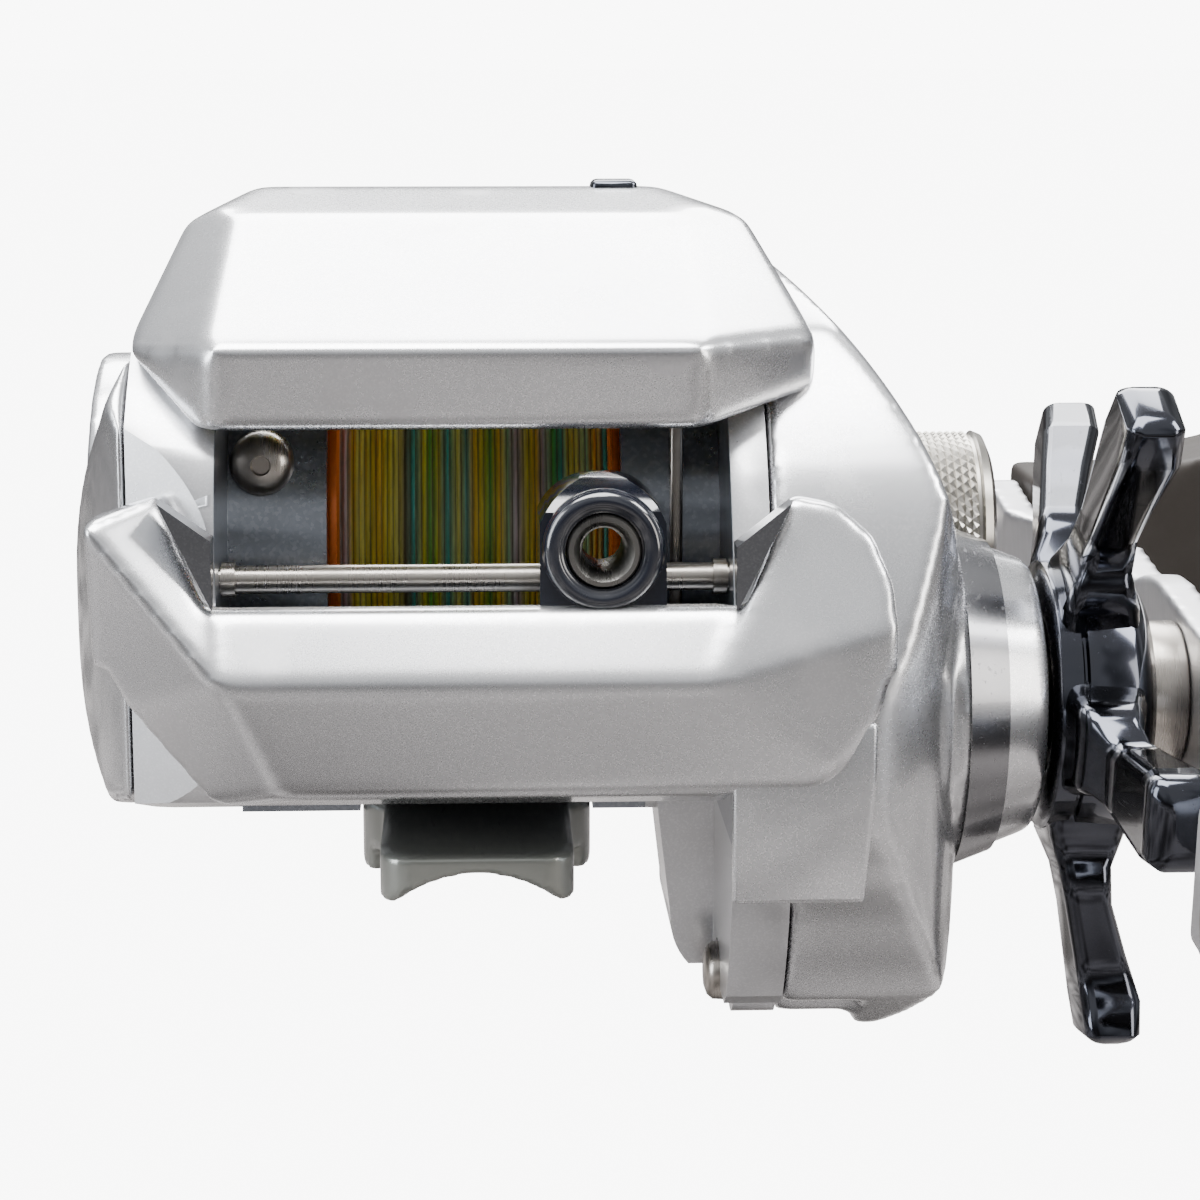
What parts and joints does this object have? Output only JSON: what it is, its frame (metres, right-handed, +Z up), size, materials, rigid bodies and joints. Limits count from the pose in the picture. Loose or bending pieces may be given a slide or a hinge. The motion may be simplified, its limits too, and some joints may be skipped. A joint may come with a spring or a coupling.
{
  "type": "baitcasting fishing reel",
  "caption": "Low-profile baitcasting reel with a wound spool, level wind, star drag, thumb bar and a double crank handle on the angler's left.",
  "frame": {"origin": "on the centreline of the rod seat that the foot rests on, straight under the middle of the spool", "axes": "+X along the spool axis towards the handle, +Y along the rod back towards the angler, +Z up away from the rod"},
  "size_m": [0.1039, 0.0962, 0.0608],
  "materials": {
    "silver_paint": "fine metallic flake under clear lacquer",
    "dark_frame": "dark grey with a fine sparkle",
    "dark_chrome": "polished black chrome",
    "orange_anodised": "anodised, satin",
    "braid": "braided line in dyed stretches",
    "steel": "ground and polished",
    "gloss_black": "polished moulded black",
    "nickel": "machined and knurled",
    "arm_silver": "satin anodised",
    "knob_grip": "soft touch",
    "brass_gear": "cut teeth",
    "carbon": "woven washer",
    "label_grey": "satin band, left bare"
  },
  "bodies": {
    "reel_frame": {"frame": "dark_frame", "foot": "dark_chrome", "foot_screws": "steel", "hood": "silver_paint", "front_cover": "silver_paint", "gear_side_plate": "silver_paint", "plate_screws": "steel", "boss_band": "label_grey", "pinion_bearing": "steel", "spool_bearing": "steel", "drive_bearing_inner": "steel", "drive_bearing_outer": "steel", "roller_clutch": "steel", "yoke_posts": "steel", "guide_bar": "steel", "worm_bushings": "gloss_black", "worm_guard": "dark_frame"},
    "palm_cover": {"palm_side_plate": "silver_paint", "brake_case": "dark_frame", "palm_bearing": "steel"},
    "brake_dial": {"brake_dial": "dark_frame"},
    "spool": {"spool": "orange_anodised", "line_pack": "braid", "spool_shaft": "steel", "spool_pin": "steel", "brake_hub": "gloss_black", "brake_blocks": "carbon"},
    "yoke": {"yoke": "gloss_black", "yoke_springs": "steel"},
    "pinion": {"pinion": "brass_gear"},
    "thumb_bar": {"thumb_bar": "gloss_black"},
    "handle": {"drive_shaft": "steel", "clutch_sleeve": "steel", "ratchet": "steel", "wind_drive_gear": "gloss_black", "drag_washers": "carbon", "drive_gear": "brass_gear", "drag_springs": "steel", "crank_arm": "arm_silver", "arm_spacer": "steel", "arm_nut": "dark_chrome", "nut_cap": "dark_chrome", "knob_post_1": "steel", "knob_post_2": "steel"},
    "star_drag": {"star_drag": "dark_chrome", "star_nut": "steel"},
    "knob_1": {"knob_1": "knob_grip", "knob_cap_1": "arm_silver", "knob_bearings_1": "steel"},
    "knob_2": {"knob_2": "knob_grip", "knob_cap_2": "arm_silver", "knob_bearings_2": "steel"},
    "worm": {"worm_shaft": "steel", "worm_gear": "brass_gear"},
    "line_guide": {"line_guide": "gloss_black", "eye_ring": "nickel", "pawl": "steel", "pawl_cap": "steel"},
    "tension_knob": {"tension_knob": "nickel"}
  },
  "joints": [
    {"name": "handle_turn", "type": "hinge", "parent": "reel_frame", "child": "handle", "pos_m": [0.045, -0.01383, 0.01745], "axis": [1, 0, 0], "continuous": true},
    {"name": "star_turn", "type": "hinge", "parent": "handle", "child": "star_drag", "pos_m": [0.043, -0.01383, 0.01745], "axis": [1, 0, 0], "range_deg": [-180, 180]},
    {"name": "knob_1_spin", "type": "hinge", "parent": "handle", "child": "knob_1", "pos_m": [0.06, 0.02785, 0.02257], "axis": [1, 0, 0], "continuous": true},
    {"name": "knob_2_spin", "type": "hinge", "parent": "handle", "child": "knob_2", "pos_m": [0.06, -0.05552, 0.01233], "axis": [1, 0, 0], "continuous": true},
    {"name": "spool_spin", "type": "hinge", "parent": "reel_frame", "child": "spool", "pos_m": [0, 0, 0.0275], "axis": [1, 0, 0], "continuous": true},
    {"name": "thumb_press", "type": "slide", "parent": "reel_frame", "child": "thumb_bar", "axis": [0, 0, -1], "range_m": [0, 0.0035]},
    {"name": "yoke_shift", "type": "slide", "parent": "reel_frame", "child": "yoke", "axis": [1, 0, 0], "range_m": [0, 0.00121]},
    {"name": "pinion_spin", "type": "hinge", "parent": "yoke", "child": "pinion", "pos_m": [0.024, 0, 0.0275], "axis": [1, 0, 0], "continuous": true},
    {"name": "worm_turn", "type": "hinge", "parent": "reel_frame", "child": "worm", "pos_m": [0, -0.02451, 0.02225], "axis": [1, 0, 0], "continuous": true},
    {"name": "line_guide_slide", "type": "slide", "parent": "reel_frame", "child": "line_guide", "axis": [1, 0, 0], "range_m": [-0.0176, 0.0006]},
    {"name": "tension_knob_turn", "type": "hinge", "parent": "reel_frame", "child": "tension_knob", "pos_m": [0.035, 0, 0.0275], "axis": [1, 0, 0], "range_deg": [-360, 360]},
    {"name": "brake_dial_turn", "type": "hinge", "parent": "palm_cover", "child": "brake_dial", "pos_m": [-0.027, -0.001, 0.024], "axis": [1, 0, 0], "range_deg": [-150, 150]},
    {"name": "palm_cover_slide", "type": "slide", "parent": "reel_frame", "child": "palm_cover", "axis": [-1, 0, 0], "range_m": [0, 0.03]}
  ],
  "couplings": [
    {"joint": "spool_spin", "follows": "handle_turn", "ratio": -5.3333},
    {"joint": "pinion_spin", "follows": "handle_turn", "ratio": -5.3333},
    {"joint": "worm_turn", "follows": "handle_turn", "ratio": -1.6},
    {"joint": "yoke_shift", "follows": "thumb_press", "ratio": 0.34286}
  ]
}
